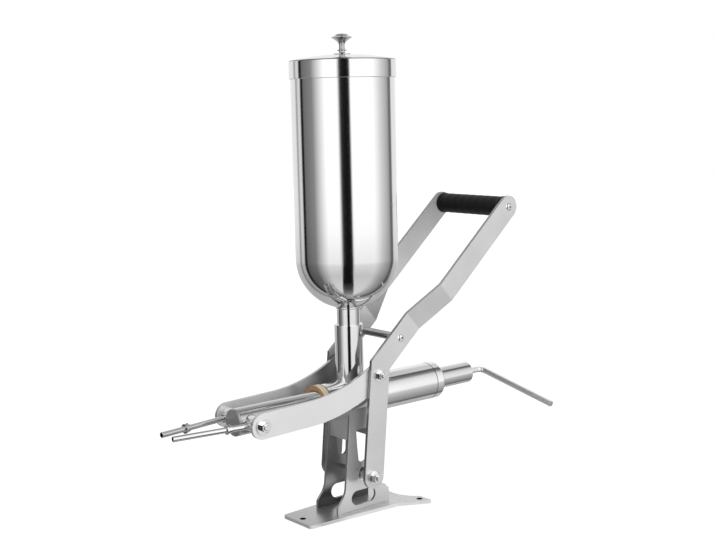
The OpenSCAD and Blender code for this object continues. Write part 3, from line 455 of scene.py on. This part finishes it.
def lid():
    outer, inner, low, high, rise = 77.0, 75.5, 638.5, 664.5, 8.0
    top_wall, round_top, bevel, hole = 1.3, 2.2, 0.5, 2.6
    groove, sunk = low + 3.2, 0.05
    edge = (outer - round_top, high - round_top + 0.25)
    outline = [(inner, low), (outer - bevel, low), (outer, low + bevel), (outer, groove),
               (outer - sunk, groove + 0.6), (outer - sunk, groove + 1.4), (outer, groove + 2.0)]
    outline += arc(edge, round_top, 0, 78, 8)
    outline += dome((70, 62, 54, 46, 38, 30, 22, 14, 8, hole), outer, rise, high)
    outline += dome((hole, 8, 22, 38, 54, 70, inner), inner, rise, high - top_wall)
    turned("lid", "lid_body", outline, "lid_steel", ("hopper_lid",), sharp=20)
    # A dark line painted along the lid's rounded upper edge: painted shade
    line_out, line_in, line_from, line_to = round_top + 0.06, round_top - 0.3, 25, 70
    line = arc(edge, line_out, line_from, line_to, 6) + arc(edge, line_in, line_to, line_from, 6)
    turned("lid_shade_line", "lid_body", line, "lid_steel", (), look="edge_steel")


def knob():
    foot, neck, rim = 12.5, 4.25, 15.0
    bottom, top = (corner[2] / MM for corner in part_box("lid_knob"))
    tall = top - bottom
    flare_low, rim_low, rim_high = 0.47 * tall, 0.805 * tall, 0.82 * tall
    plinth, hollow = 0.9, 1.9
    collar, collar_out, bulge, waist = 0.8, 1.9, 0.3, 0.2
    crown, crown_foot, lip = 0.66 * rim, 0.905 * tall, 0.2
    cap, cap_foot, cap_rise = crown - 0.5, crown_foot + lip, tall - crown_foot - lip
    outline = [(0.0, 0.0), (foot, 0.0), (foot, plinth)]
    outline += [(foot - (foot - neck) * math.sin(a), plinth + hollow * (1 - math.cos(a)))
                for a in (math.pi / 2 * i / 8 for i in range(1, 9))]
    outline += [(neck, 0.16 * tall)]
    outline += arc((neck + collar_out, 0.185 * tall), collar, -90, 90, 10)
    outline += [(neck, 0.21 * tall), (neck + bulge, 0.25 * tall), (neck, 0.29 * tall),
                (neck - waist, 0.38 * tall), (neck, flare_low)]
    outline += [(neck + (rim - neck) * share ** 1.7, flare_low + (rim_low - flare_low) * share)
                for share in shares(16)]
    outline += [(rim, rim_high)]
    outline += [(crown + (rim - crown) * (1 - share) ** 1.3,
                 rim_high + (crown_foot - rim_high) * share) for share in shares(6)]
    outline += [(cap, cap_foot)]
    outline += [(cap * math.cos(a), cap_foot + cap_rise * math.sin(a))
                for a in (math.pi / 2 * i / 12 for i in range(1, 12))]
    outline += [(0.0, tall)]
    turned("knob", "lid_body", outline, "knob_chrome", ("lid_knob",), at=(0, 0, bottom * MM),
           sharp=25)


def grip():
    """The rubber grip: a raised ring at each end and shallow waves between them."""
    low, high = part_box("handle_grip")
    half = high[0] / MM
    axis = (0, (low[1] + high[1]) / 2, (low[2] + high[2]) / 2)
    ring = (high[2] - low[2]) / 2 / MM
    body, bore, plain = ring - 0.8, 8.1, 6.4
    wave, pitch, steps = 0.12, 16, 60
    end = [(bore, -half), (ring - 1.5, -half), (ring - 0.4, -half + 0.4), (ring, -half + 1.5),
           (ring, -half + 5.2), (ring - 0.5, -half + 5.9)]
    outline = list(end)
    for i in range(steps + 1):
        along = -half + plain + (2 * half - 2 * plain) * i / steps
        outline.append((body + wave * math.cos(math.tau * along / pitch), along))
    outline += [(radius, -along) for radius, along in reversed(end)]
    made = turned("grip", "lever", outline, "grip_rubber", ("handle_grip",), along="X", at=axis,
                  turns=96)
    made.visible_glossy = False


def weld(name, body, path, radius, slot):
    """A weld bead along a path of points in mm, rippled along its length and thin at its ends."""
    step, sides, ripple, mean, wave = 0.7, 10, 2.2, 0.86, 0.14
    tip, growth = 0.35, 0.4
    aside = Vector((0.31, 0.27, 0.91))
    marks = [Vector(p) for p in path]
    spots = []
    for a, b in zip(marks, marks[1:]):
        count = max(1, round((b - a).length / step))
        spots += [a.lerp(b, i / count) for i in range(count)]
    spots.append(marks[-1])
    last = len(spots) - 1
    shape = bmesh.new()
    rings = []
    run = 0.0
    for i, spot in enumerate(spots):
        ahead = spots[min(i + 1, last)] - spots[max(i - 1, 0)]
        ahead.normalize()
        if i:
            run += (spot - spots[i - 1]).length
        taper = min(1, tip + growth * min(i, last - i))
        size = radius * (mean + wave * math.cos(math.tau * run / ripple)) * taper
        one = ahead.cross(aside).normalized()
        two = ahead.cross(one)
        rings.append([shape.verts.new((spot + (one * math.cos(t) + two * math.sin(t)) * size) * MM)
                      for t in (math.tau * k / sides for k in range(sides))])
    for one, two in zip(rings, rings[1:]):
        for k in range(sides):
            n = (k + 1) % sides
            shape.faces.new((one[k], one[n], two[n], two[k])).smooth = True
    shape.faces.new(rings[0])
    shape.faces.new(rings[-1][::-1])
    finished(name, shape, body, slot)


def welds():
    """The beads on both sides of the plates' feet and round the feed socket's foot."""
    plate_out, plate_in, top, foot = 26.25, 22.25, 5.0, 49.0
    for side, word in ((1, "right"), (-1, "left")):
        for name, x, lift, inset, radius in (("weld_foot_", plate_out + 0.3, 0.3, 8, 1.3),
                                             ("weld_foot_in_", plate_in - 0.2, 0.2, 12, 1.2)):
            path = [(side * x, -foot + inset, top + lift), (side * x, foot - inset, top + lift)]
            weld(name + word, "base", path, radius, "plate_steel")
    socket, barrel, steps, wider, lift = 21.0, 28.5, 72, 1.01, 0.3
    saddle = []
    for k in range(steps + 1):
        a = math.tau * k / steps
        x = socket * math.cos(a)
        saddle.append((x * wider, socket * wider * math.sin(a),
                       BARREL_AXIS + math.sqrt(barrel ** 2 - x ** 2) + lift))
    weld("weld_socket", "base", saddle, 1.0, "pipe_steel")


def cap_seam():
    """The dark line between the barrel and its rear cap."""
    outline = [(28.2, 151.6), (28.6, 151.9), (28.6, 152.9), (28.2, 153.2)]
    turned("cap_seam", "base", outline, "cap_seal_rubber", (), at=(0, 0, BARREL_AXIS * MM),
           along="Y")


for node in ("front_web", "rear_web"):
    frame["nodes"][node].material_slots[0].material = bpy.data.materials["web_steel"]
for node in ("cylinder_liner", "handle_bar"):
    frame["nodes"][node].visible_glossy = False
hopper()
lid()
knob()
grip()
welds()
cap_seam()


# ---------------------------------------------------------------- studio

# The panels that stand round the machine, each from one direction to the next in degrees to the
# right of the camera's own side, with its brightness at both; between two it changes evenly
PANELS = [(-180, -131, 0.85, 0.85),  # rear wall
          (-127, -122, 0.6, 0.6),    # its shaded edge
          (-119, -110, 0.8, 0.8),    # white strip
          (-107, -101, 0.03, 0.03),  # black card
          (-98, -72, 0.4, 0.5),      # grey side wall
          (-40, -13, 1.0, 1.0),      # left light
          (-7, -2, 0.2, 0.1),        # shaded edge of the camera's gap
          (3, 13, 0.06, 0.06),       # the camera's gap
          (16, 66, 1.0, 1.0),        # right light
          (88, 113, 0.8, 0.6),       # right side wall
          (118, 126, 0.4, 0.4),      # grey card
          (130, 180, 0.85, 0.85)]    # rear wall
# How the light changes with height, from straight down at -1 to straight up at 1, the sine of
# the elevation: the table, its edge, the walls and the ceiling
HEIGHTS = [(-1.0, 0.6), (-0.57, 0.5), (-0.2, 0.65), (-0.14, 0.78), (-0.09, 1.0),
           (0.55, 1.0), (0.85, 0.85), (0.93, 0.5), (1.0, 0.4)]
STUDIO_LIGHT = 1.35
WHITE = (1, 1, 1, 1)
CAMERA_AT = (1.36242306, -1.09459589, 0.59971282)
CAMERA_BACK = (0.76671119, -0.62751979, 0.13554652)
CAMERA_UP = (-0.09027777, 0.10365085, 0.99050817)
CAMERA_LENS = 60.4933
CAMERA_SIDE = math.atan2(CAMERA_AT[1], CAMERA_AT[0])


def shown(value):
    """Linear light for a brightness between 0 and 1 as the eye reads it."""
    return value / 12.92 if value <= 0.04045 else ((value + 0.055) / 1.055) ** 2.4


def toward(tree, direction, centre, inside, outside, darkest):
    """A soft dark patch of the studio, as a share of the light kept. centre is its direction:
    degrees to the right of the camera's side, and degrees up. It is darkest up to inside
    degrees from there, and gone at outside degrees."""
    side = CAMERA_SIDE + math.radians(centre[0])
    up = math.radians(centre[1])
    middle = (math.cos(side) * math.cos(up), math.sin(side) * math.cos(up), math.sin(up))
    return ranged(tree, paired(tree, "DOT_PRODUCT", direction, middle)["Value"], 1.0, darkest,
                  math.cos(math.radians(outside)), math.cos(math.radians(inside)))


def background(tree, colour, strength):
    made = added(tree, "ShaderNodeBackground")
    put(tree, colour, made.inputs["Color"])
    made.inputs["Strength"].default_value = strength
    return made.outputs[0]


def studio():
    """The panels light the machine and show in its steel; the camera itself sees white."""
    world = bpy.data.worlds.new("studio")
    scene.world = world
    world.use_nodes = True
    tree = world.node_tree
    tree.nodes.clear()
    direction = added(tree, "ShaderNodeTexCoord").outputs["Generated"]
    axes = added(tree, "ShaderNodeSeparateXYZ")
    tree.links.new(direction, axes.inputs["Vector"])
    side = sums(tree, "ARCTAN2", axes.outputs["Y"], axes.outputs["X"])
    # Turns from the rear, whole ones cut off, so that the camera's side is at one half
    part = sums(tree, "FRACT", sums(tree, "MULTIPLY_ADD", side, 1 / math.tau,
                                    1.5 - CAMERA_SIDE / math.tau))
    marks = [mark for first, last, one, two in PANELS for mark in ((first, one), (last, two))]
    bands = ramp_of(tree, part, [(a / 360 + 0.5, shown(v)) for a, v in marks])
    height = ranged(tree, axes.outputs["Z"], 0, 1, -1, 1)
    heights = ramp_of(tree, height, [(z / 2 + 0.5, v) for z, v in HEIGHTS])
    light = paired(tree, "MULTIPLY", bands, heights)["Vector"]
    beside = toward(tree, direction, (110, 48), 6, 15, 0.4)
    behind = toward(tree, direction, (180, 62), 12, 34, 0.5)
    light = scaled(tree, light, sums(tree, "MULTIPLY", beside, behind))
    rays = added(tree, "ShaderNodeLightPath")
    choose = added(tree, "ShaderNodeMixShader")
    tree.links.new(rays.outputs["Is Camera Ray"], choose.inputs[0])
    tree.links.new(background(tree, light, STUDIO_LIGHT), choose.inputs[1])
    tree.links.new(background(tree, WHITE, 1.0), choose.inputs[2])
    out = added(tree, "ShaderNodeOutputWorld")
    tree.links.new(choose.outputs[0], out.inputs["Surface"])


def camera():
    data = bpy.data.cameras.new("camera")
    data.sensor_width = 36
    data.lens = CAMERA_LENS
    data.clip_start = 0.05
    data.clip_end = 50
    data.dof.use_dof = False
    made = bpy.data.objects.new("camera", data)
    scene.collection.objects.link(made)
    back = Vector(CAMERA_BACK).normalized()
    right = Vector(CAMERA_UP).cross(back).normalized()
    up = back.cross(right)
    placed = Matrix((right, up, back)).transposed().to_4x4()
    placed.translation = Vector(CAMERA_AT)
    made.matrix_world = placed
    scene.camera = made


def flat(name, corners, height):
    mesh = bpy.data.meshes.new(name)
    mesh.from_pydata([(x, y, 0) for x, y in corners], [], [tuple(range(len(corners)))])
    made = bpy.data.objects.new(name, mesh)
    made.location = (0, 0, height)
    scene.collection.objects.link(made)
    return made


def papered(made, name, tone, rough):
    """Give a flat piece a matt paper that glows. What sets the glow is left to the caller."""
    tree, shader = start(name)
    for key, value in (("Base Color", (tone, tone, tone, 1)), ("Roughness", rough),
                       ("Specular IOR Level", 0.0), ("Emission Color", WHITE)):
        shader.inputs[key].default_value = value
    made.data.materials.append(bpy.data.materials[name])
    return tree, shader.inputs["Emission Strength"]


def floor():
    half = 6.0
    made = flat("floor", [(-half, -half), (half, -half), (half, half), (-half, half)], -0.3 * MM)
    tree, glow = papered(made, "floor_paper", 0.5, 0.9)
    put(tree, 0.8, glow)
    made.visible_glossy = False
    made.visible_diffuse = False


def gap_in_paper():
    """The dark gap between the papers, towards the camera, that only the polished steel shows."""
    sides = [(0.06, 0.05), (0.12, 0.06), (0.37, 0.10), (0.6, 0.135), (1.0, 0.2), (2.5, 0.4)]
    lean, narrow = 0.02, 0.8
    corners = [(far, wide + lean * far) for far, wide in sides]
    corners += [(far, -narrow * wide) for far, wide in reversed(sides)]
    made = flat("gap_in_paper", corners, -0.2 * MM)
    made.rotation_euler = (0, 0, CAMERA_SIDE)
    tree, glow = papered(made, "gap_dark", 0.01, 1.0)
    put(tree, faded(tree, "X", [(60, 0.45), (120, 0.2), (200, 0.06), (350, 0.0), (2500, 0.0)]),
        glow)
    made.visible_camera = False
    made.visible_diffuse = False
    made.visible_shadow = False


studio()
camera()
floor()
gap_in_paper()
scene.view_settings.view_transform = "Standard"
